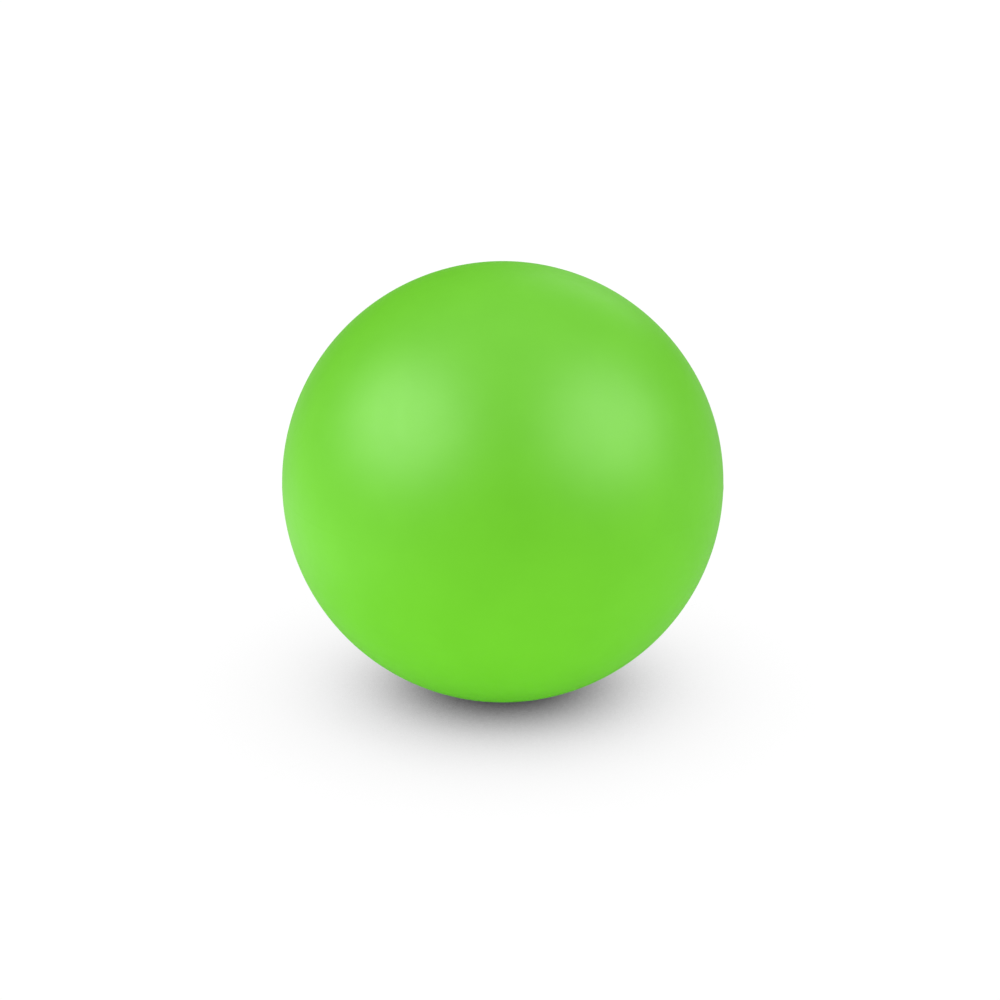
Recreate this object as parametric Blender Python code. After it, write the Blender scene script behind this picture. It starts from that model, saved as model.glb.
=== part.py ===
"""Stress ball: a solid foam ball with a dense, colour-coated skin.

The skin is an upper and a lower half, which meet at the mould's parting line and hold a soft foam core.
Under the ball, a trimmed stub of foam closes the hole that the foam was poured through.

Metres, +Z up. The origin lies on the surface that the ball rests on, under the ball's centre.
Every piece is turned about the vertical axis, which is also the line that a squeeze moves along.
"""

import math

import bmesh
import bpy

# Driving dimensions, in metres
BALL_DIAMETER = 0.063
RESTING_PATCH_RADIUS = 0.004  # the soft ball stands on a small flat patch
SKIN_THICKNESS = 0.0012
PIECE_GAP = 0.0003  # between each piece and its neighbour
PLUG_RADIUS = 0.00275
PLUG_LENGTH = 0.0045
PLUG_CHAMFER = 0.0006  # on the plug's buried end

# Fineness of the turned shapes
TURN_STEPS = 48
ARC_STEP = math.radians(7.5)

# Sizes that follow from the driving dimensions. Heights are measured from the ball's centre.
BALL_RADIUS = BALL_DIAMETER / 2
CENTRE_HEIGHT = math.sqrt(BALL_RADIUS**2 - RESTING_PATCH_RADIUS**2)
FLOOR = -CENTRE_HEIGHT
SKIN_INNER_RADIUS = BALL_RADIUS - SKIN_THICKNESS
CORE_RADIUS = SKIN_INNER_RADIUS - PIECE_GAP
HOLE_RADIUS = PLUG_RADIUS + PIECE_GAP
PLUG_TOP = FLOOR + PLUG_LENGTH
HALF_GAP = PIECE_GAP / 2

# Finishes: colour (linear red, green, blue), roughness
LIME_COAT = ((0.132, 0.543, 0.005), 0.48)
BARE_FOAM = ((0.80, 0.72, 0.50), 0.9)
CUT_FOAM = ((0.30, 0.54, 0.12), 0.9)

WELD_DISTANCE = 1e-6
SHARP_ANGLE = math.radians(35)


def clear_scene():
    for old in list(bpy.data.objects):
        bpy.data.objects.remove(old, do_unlink=True)


def finish_material(name, finish):
    """A plain, non-metallic Principled material."""
    colour, roughness = finish
    material = bpy.data.materials.new(name)
    material.use_nodes = True
    shader = material.node_tree.nodes["Principled BSDF"]
    shader.inputs["Base Color"].default_value = (*colour, 1.0)
    shader.inputs["Roughness"].default_value = roughness
    shader.inputs["Metallic"].default_value = 0.0
    return material


def arc(radius, first_height, last_height):
    """Profile points (radius, height) along a circle round the ball's centre, between two heights."""
    first = math.acos(first_height / radius)
    last = math.acos(last_height / radius)
    steps = max(1, round(abs(last - first) / ARC_STEP))
    angles = [first + (last - first) * step / steps for step in range(steps + 1)]
    return [(radius * math.sin(angle), radius * math.cos(angle)) for angle in angles]


def height_on_ball(radius, distance):
    """Height of the underside of a ball of this radius, at a distance from the vertical axis."""
    return -math.sqrt(radius**2 - distance**2)


def turned(name, profile, finish, centre):
    """A closed solid turned about the vertical axis from a closed profile of (radius, height) points."""
    shape = bmesh.new()
    corners = [shape.verts.new((radius, 0.0, height)) for radius, height in profile]
    for corner, following in zip(corners, corners[1:] + corners[:1]):
        on_axis = corner.co.x < WELD_DISTANCE and following.co.x < WELD_DISTANCE
        if not on_axis:
            shape.edges.new((corner, following))
    bmesh.ops.spin(
        shape,
        geom=shape.verts[:] + shape.edges[:],
        cent=(0.0, 0.0, 0.0),
        axis=(0.0, 0.0, 1.0),
        angle=math.tau,
        steps=TURN_STEPS,
        use_merge=True,
    )
    bmesh.ops.remove_doubles(shape, verts=shape.verts[:], dist=WELD_DISTANCE)
    bmesh.ops.recalc_face_normals(shape, faces=shape.faces[:])
    mesh = bpy.data.meshes.new(name)
    shape.to_mesh(mesh)
    shape.free()
    mesh.shade_smooth()
    mesh.set_sharp_from_angle(angle=SHARP_ANGLE)
    mesh.materials.append(finish_material(name, finish))
    piece = bpy.data.objects.new(name, mesh)
    bpy.context.scene.collection.objects.link(piece)
    piece.parent = centre
    return piece


def make_centre():
    """An empty at the ball's centre, on the squeeze axis, which carries every piece."""
    centre = bpy.data.objects.new("ball_centre", None)
    bpy.context.scene.collection.objects.link(centre)
    centre.location = (0.0, 0.0, CENTRE_HEIGHT)
    return centre


def make_upper_skin(centre):
    """The half that moves down when the ball is squeezed: a dome, cut level just above the parting line."""
    outside = arc(BALL_RADIUS, HALF_GAP, BALL_RADIUS)
    inside = arc(SKIN_INNER_RADIUS, SKIN_INNER_RADIUS, HALF_GAP)
    return turned("upper_skin", outside + inside, LIME_COAT, centre)


def make_lower_skin(centre):
    """A bowl with a flat resting patch, pierced by the pour hole."""
    outside = arc(BALL_RADIUS, -HALF_GAP, FLOOR)
    hole_rim = [(HOLE_RADIUS, FLOOR)]
    hole_top = height_on_ball(SKIN_INNER_RADIUS, HOLE_RADIUS)
    inside = arc(SKIN_INNER_RADIUS, hole_top, -HALF_GAP)
    return turned("lower_skin", outside + hole_rim + inside, LIME_COAT, centre)


def make_foam_core(centre):
    """The ball of foam inside the skin, with a pocket underneath that takes the plug's buried end."""
    outside = arc(CORE_RADIUS, CORE_RADIUS, height_on_ball(CORE_RADIUS, HOLE_RADIUS))
    pocket_top = PLUG_TOP + PIECE_GAP
    pocket = [(HOLE_RADIUS, pocket_top), (0.0, pocket_top)]
    return turned("foam_core", outside + pocket, BARE_FOAM, centre)


def make_pour_plug(centre):
    """The stub of foam in the pour hole, cut flush with the resting patch."""
    profile = [
        (0.0, FLOOR),
        (PLUG_RADIUS, FLOOR),
        (PLUG_RADIUS, PLUG_TOP - PLUG_CHAMFER),
        (PLUG_RADIUS - PLUG_CHAMFER, PLUG_TOP),
        (0.0, PLUG_TOP),
    ]
    return turned("pour_plug", profile, CUT_FOAM, centre)


clear_scene()
ball_centre = make_centre()
make_upper_skin(ball_centre)
make_lower_skin(ball_centre)
make_foam_core(ball_centre)
make_pour_plug(ball_centre)
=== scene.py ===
"""Looks of the stress ball: a moulded foam ball with a satin lime coat, on a white table in a bright studio.

The dense, coated skin is an upper and a lower half that meet at the parting line, and the lower one is
pierced by the pour hole. The foam core and the cut stub in the pour hole fill them.
Lengths are in metres, and texture sizes are in millimetres.
"""

import math

import bpy
import numpy as np
from mathutils import Matrix, Vector, noise


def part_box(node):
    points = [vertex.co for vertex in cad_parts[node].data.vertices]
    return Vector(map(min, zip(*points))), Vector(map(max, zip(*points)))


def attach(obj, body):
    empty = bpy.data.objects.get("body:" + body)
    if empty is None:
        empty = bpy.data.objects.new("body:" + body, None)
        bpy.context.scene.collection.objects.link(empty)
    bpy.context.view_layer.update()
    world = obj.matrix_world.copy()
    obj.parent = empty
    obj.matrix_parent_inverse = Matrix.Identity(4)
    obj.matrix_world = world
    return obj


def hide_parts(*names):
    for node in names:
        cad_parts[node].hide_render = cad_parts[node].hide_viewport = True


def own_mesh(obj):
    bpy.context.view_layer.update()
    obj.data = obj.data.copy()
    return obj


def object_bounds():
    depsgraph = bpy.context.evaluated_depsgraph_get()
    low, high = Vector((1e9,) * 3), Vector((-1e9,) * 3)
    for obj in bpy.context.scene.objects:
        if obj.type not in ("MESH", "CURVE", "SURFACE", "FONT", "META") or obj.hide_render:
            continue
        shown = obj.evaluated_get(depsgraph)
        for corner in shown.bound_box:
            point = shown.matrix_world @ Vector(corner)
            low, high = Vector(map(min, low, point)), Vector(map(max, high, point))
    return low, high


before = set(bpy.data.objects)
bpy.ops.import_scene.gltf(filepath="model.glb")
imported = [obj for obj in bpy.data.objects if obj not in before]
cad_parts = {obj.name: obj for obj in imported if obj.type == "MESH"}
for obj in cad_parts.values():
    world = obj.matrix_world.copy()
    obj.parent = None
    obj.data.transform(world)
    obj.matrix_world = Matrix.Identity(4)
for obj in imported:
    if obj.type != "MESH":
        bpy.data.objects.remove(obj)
cad_low, cad_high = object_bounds()

MM = 0.001

# ---------------------------------------------------------------------------------------------------------
# Sizes that the frame gives
# ---------------------------------------------------------------------------------------------------------

GAP = 0.3 * MM  # between each piece and its neighbour
TOP = cad_high[2]
BALL_RADIUS = (cad_high[0] - cad_low[0]) / 2
CENTRE_HEIGHT = TOP - BALL_RADIUS
CORE_RADIUS = (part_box("foam_core")[1].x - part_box("foam_core")[0].x) / 2
SKIN_INNER_RADIUS = CORE_RADIUS + GAP
PLUG_RADIUS = (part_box("pour_plug")[1].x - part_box("pour_plug")[0].x) / 2
PLUG_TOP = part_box("pour_plug")[1].z
HOLE_RADIUS = PLUG_RADIUS + GAP

# ---------------------------------------------------------------------------------------------------------
# Shape of the skin
# ---------------------------------------------------------------------------------------------------------

PATCH_BLEND = 0.08 * MM  # how gently the flat resting patch turns into the ball, in height
PARTING_HEIGHT = CENTRE_HEIGHT
PARTING_HALF_WIDTH = 0.22 * MM
PARTING_RISE_FRONT = 0.003 * MM  # the trimmed line has all but gone at the front
PARTING_RISE_BACK = 0.10 * MM
PARTING_BAND = 1.0 * MM  # height of the finely divided band on each side of the parting line
WAVE = 0.02 * MM  # how far the moulded ball is from a true sphere
HOLE_EDGE = 0.15 * MM  # rounding of the pour hole's edge
FOOT_SHARE = 1.8  # radius of the finely divided foot, in radii of the pour hole
SHARP_EDGE = math.radians(40)  # a fold over this angle is shaded as an edge

# How finely the skin is divided: round the axis, and along its profile
SKIN_TURNS = 300
COARSE = math.radians(1.2)
NEAR_PARTING = math.radians(0.14)
NEAR_FOOT = math.radians(0.3)
ROUND_EDGE = math.radians(20)
INSIDE = math.radians(3)


def spread(first, last, step):
    """Even values from first to last, both included, at most a step apart."""
    return np.linspace(first, last, max(2, math.ceil(abs(last - first) / step) + 1))


def settled(height):
    """Height of a point of the ball once its underside has flattened against the table."""
    rounded = (height + PATCH_BLEND) ** 2 / (4 * PATCH_BLEND)
    low = np.where(height < -PATCH_BLEND, 0.0, rounded)
    return np.where(height > PATCH_BLEND, height, low)


def turned_rings(profile, turns, relief=None):
    """Rings of points, by (ring, turn): a profile of (radius, height) points turned about the upright axis.

    The profile runs clockwise round the body, as seen with the axis on the left. relief gives how far
    each point is pushed outwards, from arrays of the ring's number and the turn.
    """
    profile = np.array(profile)
    along = np.gradient(profile, axis=0)
    along /= np.linalg.norm(along, axis=1, keepdims=True)
    outward = np.stack([-along[:, 1], along[:, 0]], axis=1)
    turn = np.arange(turns) * (math.tau / turns)
    ring = np.arange(len(profile))
    push = np.zeros((len(ring), turns)) if relief is None else relief(ring[:, None], turn[None, :])
    radius = profile[:, 0, None] + outward[:, 0, None] * push
    height = profile[:, 1, None] + outward[:, 1, None] * push
    return np.stack([radius * np.cos(turn), radius * np.sin(turn), height], axis=2)


def closed_body(name, rings, looped=False):
    """A closed body of rings. It runs from pole to pole, or, if looped, its last ring joins its first."""
    poles = [rings[0, 0].tolist(), rings[-1, 0].tolist()]
    if not looped:
        rings = rings[1:-1]
    points = rings.reshape(-1, 3).tolist()
    here = np.arange(len(points)).reshape(rings.shape[:2])
    if looped:
        here = np.concatenate([here, here[:1]])
    beside = np.roll(here, -1, axis=1)
    faces = np.stack([here[:-1], here[1:], beside[1:], beside[:-1]], axis=2).reshape(-1, 4).tolist()
    if not looped:
        faces += [(len(points), int(a), int(b)) for a, b in zip(here[0], beside[0])]
        faces += [(int(a), len(points) + 1, int(b)) for a, b in zip(here[-1], beside[-1])]
        points += poles

    mesh = bpy.data.meshes.new(name)
    mesh.from_pydata(points, [], faces)
    mesh.shade_smooth()
    mesh.set_sharp_from_angle(angle=SHARP_EDGE)
    body = bpy.data.objects.new(name, mesh)
    bpy.context.scene.collection.objects.link(body)
    return body


def ball_points(radius, angles):
    """Profile points (radius, height) on a circle round the ball's centre, at angles from the top."""
    return [(radius * math.sin(angle), CENTRE_HEIGHT + radius * math.cos(angle)) for angle in angles]


def skin_relief(angles, heights):
    """Relief of the ball's outside: the parting line, and how far the moulded ball is from a true sphere."""

    def relief(ring, turn):
        to_back = (1 + np.sin(turn)) / 2
        rise = PARTING_RISE_FRONT + (PARTING_RISE_BACK - PARTING_RISE_FRONT) * to_back**2
        uneven = 1 + 0.25 * np.sin(5 * turn + 1.0) + 0.15 * np.sin(13 * turn + 2.0)
        line = rise * uneven * np.exp(-(((heights[ring] - PARTING_HEIGHT) / PARTING_HALF_WIDTH) ** 2))
        width = np.sin(angles[ring])
        wave = np.sin(2 * turn + 0.6) * width**2
        wave = wave + 0.7 * np.sin(3 * turn - 1.1 + 2 * angles[ring]) * width**3
        wave = wave + 0.5 * np.cos(5 * angles[ring] + 0.5) * width
        return line + WAVE * (wave - 1.5) / 2

    return relief


def make_skins():
    """The dense skin with its coat, outside and inside, as the mould's two halves made it.

    The outer edges of the two halves are one and the same line, and their cut faces part from there inwards.
    """
    equator = math.pi / 2
    band = math.asin(PARTING_BAND / BALL_RADIUS)
    foot_start = math.pi - math.asin(FOOT_SHARE * HOLE_RADIUS / BALL_RADIUS)
    foot_end = math.pi - math.asin((HOLE_RADIUS + HOLE_EDGE) / BALL_RADIUS)
    above = np.concatenate([
        spread(0.0, equator - band, COARSE)[:-1],
        spread(equator - band, equator, NEAR_PARTING),
    ])
    below = np.concatenate([
        spread(equator, equator + band, NEAR_PARTING)[1:-1],
        spread(equator + band, foot_start, COARSE)[:-1],
        spread(foot_start, foot_end, NEAR_FOOT),
    ])
    angles = np.concatenate([above, below])
    profile = [(radius, float(settled(height))) for radius, height in ball_points(BALL_RADIUS, angles)]
    relief = skin_relief(angles, np.array([height for _, height in profile]))
    outside = turned_rings(profile, SKIN_TURNS, relief)
    edge = [
        (HOLE_RADIUS + HOLE_EDGE * (1 - math.sin(turn)), HOLE_EDGE * (1 - math.cos(turn)))
        for turn in spread(0.0, math.pi / 2, ROUND_EDGE)[1:]
    ]
    hole_top = math.pi - math.asin(HOLE_RADIUS / SKIN_INNER_RADIUS)
    cut = math.asin(GAP / 2 / SKIN_INNER_RADIUS)
    inside_below = ball_points(SKIN_INNER_RADIUS, spread(hole_top, equator + cut, INSIDE))
    inside_above = ball_points(SKIN_INNER_RADIUS, spread(equator - cut, 0.0, INSIDE))
    upper = np.concatenate([outside[: len(above)], turned_rings(inside_above, SKIN_TURNS)])
    lower = np.concatenate([outside[len(above) - 1 :], turned_rings(edge + inside_below, SKIN_TURNS)])
    return closed_body("coated_upper_skin", upper), closed_body("coated_lower_skin", lower, looped=True)


# ---------------------------------------------------------------------------------------------------------
# Shapes of the foam inside
# ---------------------------------------------------------------------------------------------------------

CELL_STEEPNESS = 1.4  # how soon a cell's hollow reaches its wall
CORE_TURNS = 150
CORE_STEP = math.radians(2.4)
POCKET_STEP = 0.8 * MM
CORE_CELL = 1.1 * MM
CORE_CELL_DEPTH = 0.12 * MM
PLUG_TURNS = 96
PLUG_CELL = 0.45 * MM
PLUG_CELL_DEPTH = 0.10 * MM
PLUG_CHAMFER = 0.6 * MM
PLUG_FACE_STEP = 0.12 * MM
PLUG_STEP = 0.3 * MM


def cell_depth(radius, height, turn, cell):
    """0 to 1: how deep a point of raw foam lies in one of its cells, which are about this size."""
    place = Vector((radius * math.cos(turn), radius * math.sin(turn), height)) / cell
    nearest = noise.voronoi(place)[0][0]
    return 1.0 - min(1.0, nearest * CELL_STEEPNESS)


def cell_relief(profile, cell, depth, first_ring, last_ring):
    """Relief of raw foam: open cells sunk into the surface between two rings of a profile."""

    def relief(ring, turn):
        push = np.zeros((ring.size, turn.size))
        for row, number in enumerate(ring[:, 0]):
            if not first_ring <= number <= last_ring:
                continue
            radius, height = profile[number]
            for column, angle in enumerate(turn[0]):
                push[row, column] = -depth * cell_depth(radius, height, angle, cell)
        return push

    return relief


def make_core():
    """The ball of soft foam, with the pocket that takes the buried end of the plug."""
    pocket_top = PLUG_TOP + GAP
    pocket_start = math.pi - math.asin(HOLE_RADIUS / CORE_RADIUS)
    outside = ball_points(CORE_RADIUS, spread(0.0, pocket_start, CORE_STEP))
    wall = [(HOLE_RADIUS, height) for height in spread(outside[-1][1], pocket_top, POCKET_STEP)[1:]]
    ceiling = [(radius, pocket_top) for radius in spread(HOLE_RADIUS, 0.0, POCKET_STEP)[1:]]
    profile = outside + wall + ceiling
    relief = cell_relief(profile, CORE_CELL, CORE_CELL_DEPTH, 1, len(outside) - 3)
    return closed_body("cellular_core", turned_rings(profile, CORE_TURNS, relief))


def make_plug():
    """The stub of foam in the pour hole, with a knife-cut face that is flush with the resting patch."""
    face = [(radius, 0.0) for radius in spread(0.0, PLUG_RADIUS, PLUG_FACE_STEP)]
    wall = [(PLUG_RADIUS, height) for height in spread(0.0, PLUG_TOP - PLUG_CHAMFER, PLUG_STEP)[1:]]
    end = [(radius, PLUG_TOP) for radius in spread(PLUG_RADIUS - PLUG_CHAMFER, 0.0, PLUG_STEP)]
    profile = (face + wall + end)[::-1]
    face_start = len(profile) - len(face) + 2
    relief = cell_relief(profile, PLUG_CELL, PLUG_CELL_DEPTH, face_start, len(profile))
    return closed_body("cut_pour_plug", turned_rings(profile, PLUG_TURNS, relief))


# ---------------------------------------------------------------------------------------------------------
# Materials
# ---------------------------------------------------------------------------------------------------------


class Paint:
    """A Principled material, with short ways to add the nodes that vary it over the surface."""

    def __init__(self, name, colour, roughness, specular, ior=1.5):
        self.material = bpy.data.materials.new(name)
        self.material.use_nodes = True
        self.tree = self.material.node_tree
        self.shader = self.tree.nodes["Principled BSDF"]
        self.shader.inputs["Base Color"].default_value = (*colour, 1.0)
        self.shader.inputs["Roughness"].default_value = roughness
        self.shader.inputs["Specular IOR Level"].default_value = specular
        self.shader.inputs["IOR"].default_value = ior
        self.place = None

    def add(self, kind, settings=None, **sockets):
        """A new node. settings are its properties; sockets are numbers or the outputs that feed them."""
        node = self.tree.nodes.new(kind)
        for name, value in (settings or {}).items():
            setattr(node, name, value)
        for name, value in sockets.items():
            socket = node.inputs[int(name[1:])] if name[0] == "_" else node.inputs[name.replace("_", " ")]
            if isinstance(value, bpy.types.NodeSocket):
                self.tree.links.new(value, socket)
            else:
                socket.default_value = value
        return node

    def measure(self, piece):
        """Coordinates in millimetres that keep to the piece as it flattens, and run on into the next piece."""
        corners = np.array([corner[:] for corner in piece.bound_box]) / MM
        low = corners.min(axis=0)
        generated = self.add("ShaderNodeTexCoord").outputs["Generated"]
        sockets = {"Vector": generated, "Location": low, "Scale": corners.max(axis=0) - low}
        self.place = self.add("ShaderNodeMapping", **sockets).outputs["Vector"]

    def noise(self, grain, detail=2.0, seed=0.0):
        """Soft noise, 0 to 1, with grains of about this many millimetres."""
        moved = self.add("ShaderNodeVectorMath", {"operation": "ADD"}, _0=self.place, _1=(seed, seed, seed))
        made = self.add("ShaderNodeTexNoise", Vector=moved.outputs[0], Scale=1 / grain, Detail=detail)
        return made.outputs["Fac"]

    def ranged(self, value, low, high, first=0.0, last=1.0):
        """value, from low to high, carried over to first to last."""
        sockets = {"From_Min": low, "From_Max": high, "To_Min": first, "To_Max": last}
        return self.add("ShaderNodeMapRange", Value=value, **sockets).outputs["Result"]

    def blend(self, share, first, last):
        """A colour between two colours."""
        sockets = {"_0": share, "_6": (*first, 1.0), "_7": (*last, 1.0)}
        return self.add("ShaderNodeMix", {"data_type": "RGBA"}, **sockets).outputs[2]

    def bump(self, height, depth, under=None):
        """Normals of a surface whose height runs from 0 to 1 over this many millimetres."""
        sockets = {"Height": height, "Distance": depth * MM, "Strength": 1.0}
        if under is not None:
            sockets["Normal"] = under
        return self.add("ShaderNodeBump", **sockets).outputs["Normal"]

    def use(self, socket, value):
        self.tree.links.new(value, self.shader.inputs[socket])


LIME = (0.132, 0.543, 0.005)
LIME_DEEP = (0.128, 0.533, 0.004)
LIME_PALE = (0.136, 0.553, 0.006)
CREAM = (0.80, 0.72, 0.50)
# CREAM_SHADE and CUT_LIME_CELL_SHADE colour the foam's cells: painted shade in their hollows, over the cut
# foam's own lime.
CREAM_SHADE = (0.60, 0.50, 0.30)
CUT_LIME_CELL_SHADE = (0.14, 0.46, 0.03)
CUT_PALE = (0.42, 0.60, 0.20)
COAT_ROUGHNESS = (0.46, 0.50)
COAT_SPECULAR = 0.75
COAT_IOR = 1.25  # low, for the soft, weak gloss of a satin coat
COAT_CLOUD = 9.0  # mm, as are the grains below
COAT_MATTING = 1.4
COAT_PEEL = 1.6
COAT_PEEL_DEPTH = 0.010
COAT_GRAIN = 0.35
COAT_GRAIN_DEPTH = 0.006


def coat_material(piece):
    """Flexible sprayed coat: even lime, satin, with a fine grain and the faintest cloudiness."""
    paint = Paint(f"lime_satin_{piece.name}", LIME, sum(COAT_ROUGHNESS) / 2, COAT_SPECULAR, ior=COAT_IOR)
    paint.measure(piece)
    cloud = paint.noise(COAT_CLOUD, detail=3.0)
    paint.use("Base Color", paint.blend(paint.ranged(cloud, 0.3, 0.7), LIME_DEEP, LIME_PALE))
    matting = paint.noise(COAT_MATTING, detail=4.0, seed=40.0)
    paint.use("Roughness", paint.ranged(matting, 0.3, 0.7, *COAT_ROUGHNESS))
    peel = paint.bump(paint.noise(COAT_PEEL, detail=1.0, seed=80.0), COAT_PEEL_DEPTH)
    grain = paint.noise(COAT_GRAIN, detail=2.0, seed=120.0)
    paint.use("Normal", paint.bump(grain, COAT_GRAIN_DEPTH, under=peel))
    return paint.material


def foam_material(piece, name, pale, painted_cell_shade, cell, depth):
    """Raw open-cell foam: a matt web of cell walls round cells painted darker, as painted shade in their
    hollows.
    """
    paint = Paint(name, pale, 0.9, 0.2)
    paint.measure(piece)
    cells = paint.add("ShaderNodeTexVoronoi", {"feature": "F1"}, Vector=paint.place, Scale=1 / cell)
    wall = paint.ranged(cells.outputs["Distance"], 0.15, 0.6)
    # The cells are painted darker than their walls: painted shade in the hollows.
    paint.use("Base Color", paint.blend(wall, painted_cell_shade, pale))
    fine = paint.bump(paint.noise(cell * 0.3, detail=3.0), depth * 0.3)
    paint.use("Normal", paint.bump(wall, depth, under=fine))
    return paint.material


# ---------------------------------------------------------------------------------------------------------
# Stage: camera, floor and lights
# ---------------------------------------------------------------------------------------------------------

LENS = 100.0  # mm
SENSOR = 36.0  # mm
CAMERA_ELEVATION = math.radians(20)
BALL_SHARE = 0.4416  # of the picture's width that the ball fills
BALL_RIGHT = 0.0027  # how far right of the picture's middle the ball lies, as a share of its width
BALL_UP = 0.0182  # how far above the middle

TABLE_WHITE = (0.95, 0.95, 0.95)
TABLE_MIRRORED = (0.52, 0.52, 0.52)  # what the ball's gloss sees of the table, fitted to the photograph
TABLE_REACH = 3.0
TABLE_DROP = 0.02 * MM  # how far the table lies under the ball, so that no two faces coincide
# The next four shape the shadow painted onto the table for the camera.
SHADOW_REACH = 1.0  # m, how far away things still shade the table
SHADOW_SAMPLES = 16
SHADOW_BEND = 1.55  # with the next, how the shadow thins out where the table sees more of the room
SHADOW_FADE = 4.6
TABLE_OVEREXPOSED = 1.04
# Panels just above the table that shine upwards: place, length towards the camera, breadth, radiance
TABLE_PANEL_HEIGHT = 0.1 * MM
TABLE_GLOW = ((-0.03, -0.02), 0.25, 0.25, 0.38)
BOUNCE_CARD = ((-0.12, -0.02), 0.24, 0.14, 0.60)

TOWARDS_CAMERA = Vector((0.0, -math.cos(CAMERA_ELEVATION), math.sin(CAMERA_ELEVATION)))
CAMERA_UP = Vector((0.0, math.sin(CAMERA_ELEVATION), math.cos(CAMERA_ELEVATION)))
CAMERA_RIGHT = Vector((1.0, 0.0, 0.0))
BALL_CENTRE = Vector((0.0, 0.0, CENTRE_HEIGHT))


def make_camera():
    """A camera that sees the ball at the right size and place in its picture."""
    focal = LENS / SENSOR
    distance = math.hypot(focal * BALL_RADIUS / (BALL_SHARE / 2), BALL_RADIUS)
    aside = CAMERA_RIGHT * BALL_RIGHT + CAMERA_UP * BALL_UP
    aim = BALL_CENTRE - aside * (distance / focal)
    data = bpy.data.cameras.new("camera")
    data.lens = LENS
    data.sensor_width = SENSOR
    data.clip_start = 0.01
    camera = bpy.data.objects.new("camera", data)
    camera.location = aim + TOWARDS_CAMERA * distance
    camera.rotation_euler = Matrix((CAMERA_RIGHT, CAMERA_UP, TOWARDS_CAMERA)).transposed().to_euler()
    bpy.context.scene.collection.objects.link(camera)
    bpy.context.scene.camera = camera


def table_material():
    """A white table. The camera sees it as an overexposed glow with the ball's soft shadow painted in, so
    without the ball's green cast, and the ball's gloss sees a greyer copy of it, a painted dimming of its
    reflection.
    """
    paint = Paint("white_table", TABLE_WHITE, 1.0, 0.0)
    light_path = paint.add("ShaderNodeLightPath")
    paint.use("Base Color", paint.blend(light_path.outputs["Is Glossy Ray"], TABLE_WHITE, TABLE_MIRRORED))
    # Painted shadow: ambient occlusion sets the level of the emission that the camera sees.
    shaded = paint.add("ShaderNodeAmbientOcclusion", {"samples": SHADOW_SAMPLES}, Distance=SHADOW_REACH)
    open_sky = shaded.outputs["AO"]
    spread_out = paint.add("ShaderNodeMath", {"operation": "POWER"}, _0=open_sky, _1=SHADOW_BEND)
    fade = paint.add("ShaderNodeMath", {"operation": "MULTIPLY"}, _0=spread_out.outputs[0], _1=-SHADOW_FADE)
    left_dark = paint.add("ShaderNodeMath", {"operation": "EXPONENT"}, _0=fade.outputs[0])
    level = paint.add("ShaderNodeMath", {"operation": "SUBTRACT"}, _0=1.0, _1=left_dark.outputs[0])
    seen = paint.add("ShaderNodeEmission", Strength=TABLE_OVEREXPOSED)
    paint.tree.links.new(level.outputs[0], seen.inputs["Color"])
    shaders = {"_1": paint.shader.outputs[0], "_2": seen.outputs[0]}
    chosen = paint.add("ShaderNodeMixShader", _0=light_path.outputs["Is Camera Ray"], **shaders)
    paint.tree.links.new(chosen.outputs[0], paint.tree.nodes["Material Output"].inputs["Surface"])
    paint.material.cycles.emission_sampling = "NONE"
    return paint.material


def make_floor():
    """A white table top, far wider than the picture."""
    mesh = bpy.data.meshes.new("table_top")
    signs = ((-1, -1), (1, -1), (1, 1), (-1, 1))
    corners = [(TABLE_REACH * right, TABLE_REACH * back, 0.0) for right, back in signs]
    mesh.from_pydata(corners, [], [(0, 1, 2, 3)])
    floor = bpy.data.objects.new("table_top", mesh)
    floor.location.z = -TABLE_DROP
    mesh.materials.append(table_material())
    bpy.context.scene.collection.objects.link(floor)


# Soft white surroundings: (direction, how narrow, strength). The first has no direction.
SURROUNDINGS = (
    (None, 0.0, 0.06),
    ((0.0, 0.0, 1.0), 3.0, 1.04),
    ((0.0, -1.0, 0.0), 6.0, 1.10),
    ((0.0, 1.0, 0.5), 4.0, 0.83),
    ((0.0, 0.5, 1.0), 8.0, 0.76),
    ((-1.0, 0.3, 0.0), 6.0, 0.64),
    ((1.0, 0.4, 0.0), 5.0, 0.54),
    ((-1.0, 0.0, 0.3), 2.0, 1.15),
    ((1.0, 0.0, 0.3), 2.0, 1.04),
)


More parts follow.
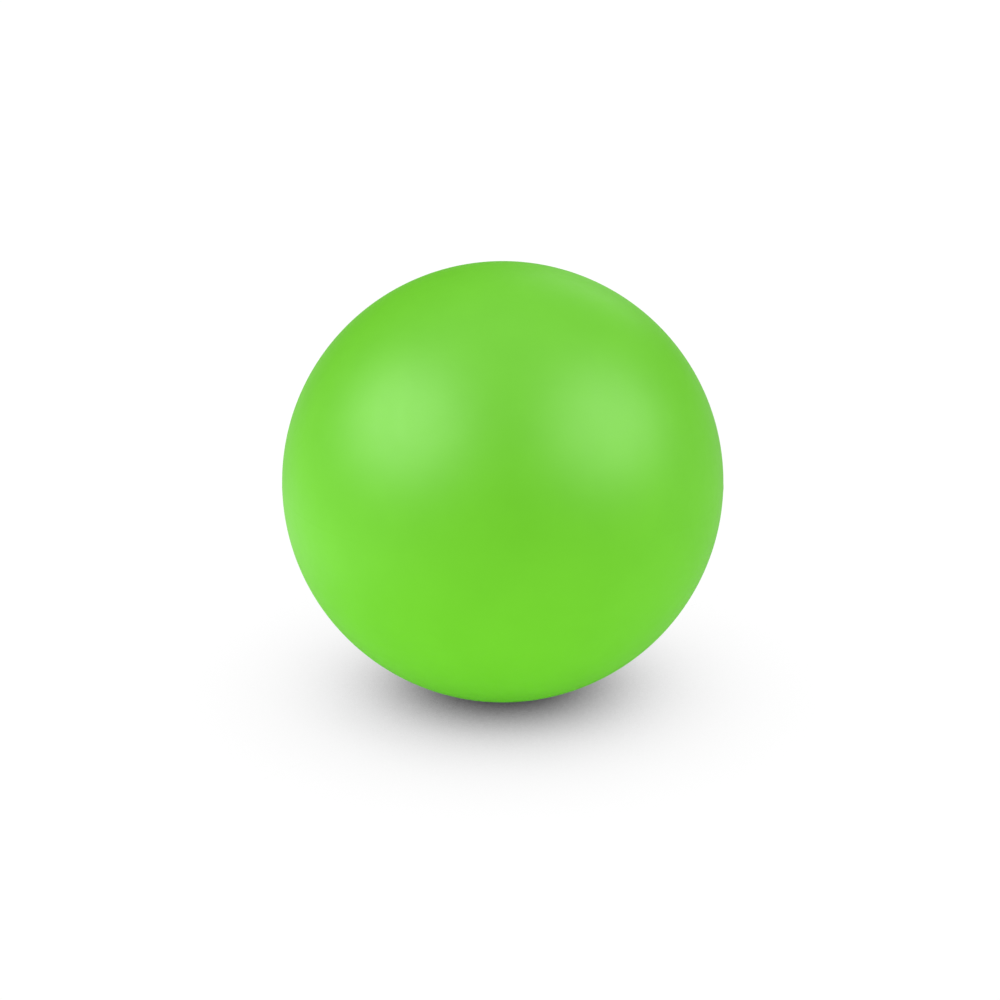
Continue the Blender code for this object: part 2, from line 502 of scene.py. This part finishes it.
def make_surroundings():
    """A white room that lights the ball from above and all round, and that the camera sees as plain white."""
    world = bpy.data.worlds.new("studio")
    bpy.context.scene.world = world
    world.use_nodes = True
    world.cycles_visibility.glossy = False
    tree = world.node_tree
    tree.nodes.clear()

    def add(kind, operation=None):
        node = tree.nodes.new(kind)
        if operation:
            node.operation = operation
        return node

    direction = add("ShaderNodeTexCoord").outputs["Generated"]
    total = None
    for towards, narrow, strength in SURROUNDINGS:
        share = add("ShaderNodeMath", "MULTIPLY")
        share.inputs[0].default_value = 1.0
        share.inputs[1].default_value = strength
        if towards:
            facing = add("ShaderNodeVectorMath", "DOT_PRODUCT")
            facing.inputs[1].default_value = Vector(towards).normalized()
            tree.links.new(direction, facing.inputs[0])
            ahead = add("ShaderNodeMath", "MAXIMUM")
            ahead.inputs[1].default_value = 0.0
            tree.links.new(facing.outputs["Value"], ahead.inputs[0])
            focused = add("ShaderNodeMath", "POWER")
            focused.inputs[1].default_value = narrow
            tree.links.new(ahead.outputs[0], focused.inputs[0])
            tree.links.new(focused.outputs[0], share.inputs[0])
        if total is None:
            total = share.outputs[0]
            continue
        joined = add("ShaderNodeMath", "ADD")
        tree.links.new(total, joined.inputs[0])
        tree.links.new(share.outputs[0], joined.inputs[1])
        total = joined.outputs[0]
    light = add("ShaderNodeBackground")
    light.inputs["Color"].default_value = (1.0, 1.0, 1.0, 1.0)
    tree.links.new(total, light.inputs["Strength"])
    backdrop = add("ShaderNodeBackground")
    backdrop.inputs["Color"].default_value = (1.0, 1.0, 1.0, 1.0)
    chosen = add("ShaderNodeMixShader")
    tree.links.new(add("ShaderNodeLightPath").outputs["Is Camera Ray"], chosen.inputs["Fac"])
    tree.links.new(light.outputs[0], chosen.inputs[1])
    tree.links.new(backdrop.outputs[0], chosen.inputs[2])
    tree.links.new(chosen.outputs[0], add("ShaderNodeOutputWorld").inputs["Surface"])


def mirrored(right, up):
    """The direction that a mirror ball shows the camera at this place on it, in radii from its middle."""
    ahead = math.sqrt(1 - right**2 - up**2)
    facing = CAMERA_RIGHT * right + CAMERA_UP * up + TOWARDS_CAMERA * ahead
    return 2 * ahead * facing - TOWARDS_CAMERA


# Softboxes: where their highlight lies on the ball (right, up, in radii), distance, length towards the
# camera, breadth, radiance
SOFTBOXES = {
    "softbox_left": (-0.41, 0.25, 0.6, 0.74, 0.56, 9.5),
    "softbox_right": (0.43, 0.24, 0.6, 0.70, 0.56, 8.0),
    "softbox_behind": (0.37, 0.84, 0.8, 0.3, 0.4, 1.8),
    "softbox_above": (0.0, 0.60, 0.9, 0.95, 0.95, 1.0),
}


def panel(name, place, away, length, breadth, radiance):
    """An oval panel at place that shines against the direction away, with its length towards the camera."""
    data = bpy.data.lights.new(name, "AREA")
    data.shape = "ELLIPSE"
    data.size = length
    data.size_y = breadth
    data.energy = math.pi * math.pi / 4 * length * breadth * radiance
    lamp = bpy.data.objects.new(name, data)
    lamp.location = place
    across = away.cross(TOWARDS_CAMERA).normalized()
    lamp.rotation_euler = Matrix((across.cross(away), across, away)).transposed().to_euler()
    lamp.visible_camera = False
    bpy.context.scene.collection.objects.link(lamp)
    return lamp


def make_lamps():
    """Softboxes that draw the highlights and nothing else, and the glow of the table under the ball."""
    for name, (right, up, distance, length, breadth, radiance) in SOFTBOXES.items():
        away = mirrored(right, up)
        softbox = panel(name, BALL_CENTRE + away * distance, away, length, breadth, radiance)
        softbox.visible_diffuse = False
    for name, (place, *shine) in {"table_glow": TABLE_GLOW, "bounce_card": BOUNCE_CARD}.items():
        lamp = panel(name, Vector((*place, TABLE_PANEL_HEIGHT)), Vector((0.0, 0.0, -1.0)), *shine)
        lamp.visible_glossy = name == "bounce_card"


# ---------------------------------------------------------------------------------------------------------
# The scene
# ---------------------------------------------------------------------------------------------------------


def place_piece(piece, material, body, node):
    """Gives a soft piece its finish, hangs it on the body that it rides on, and hides the CAD node that it
    stands for.
    """
    piece.data.materials.append(material)
    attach(piece, body)
    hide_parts(node)
    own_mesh(piece)


upper_skin, lower_skin = make_skins()
core = make_core()
plug = make_plug()
raw_foam = foam_material(core, "raw_foam", CREAM, CREAM_SHADE, 0.9, 0.12)
cut_foam = foam_material(plug, "cut_foam", CUT_PALE, CUT_LIME_CELL_SHADE, 0.4, 0.08)
place_piece(upper_skin, coat_material(upper_skin), "upper_half", "upper_skin")
place_piece(lower_skin, coat_material(lower_skin), "lower_half", "lower_skin")
place_piece(core, raw_foam, "lower_half", "foam_core")
place_piece(plug, cut_foam, "lower_half", "pour_plug")

make_floor()
make_surroundings()
make_lamps()
make_camera()
bpy.context.scene.view_settings.view_transform = "Standard"
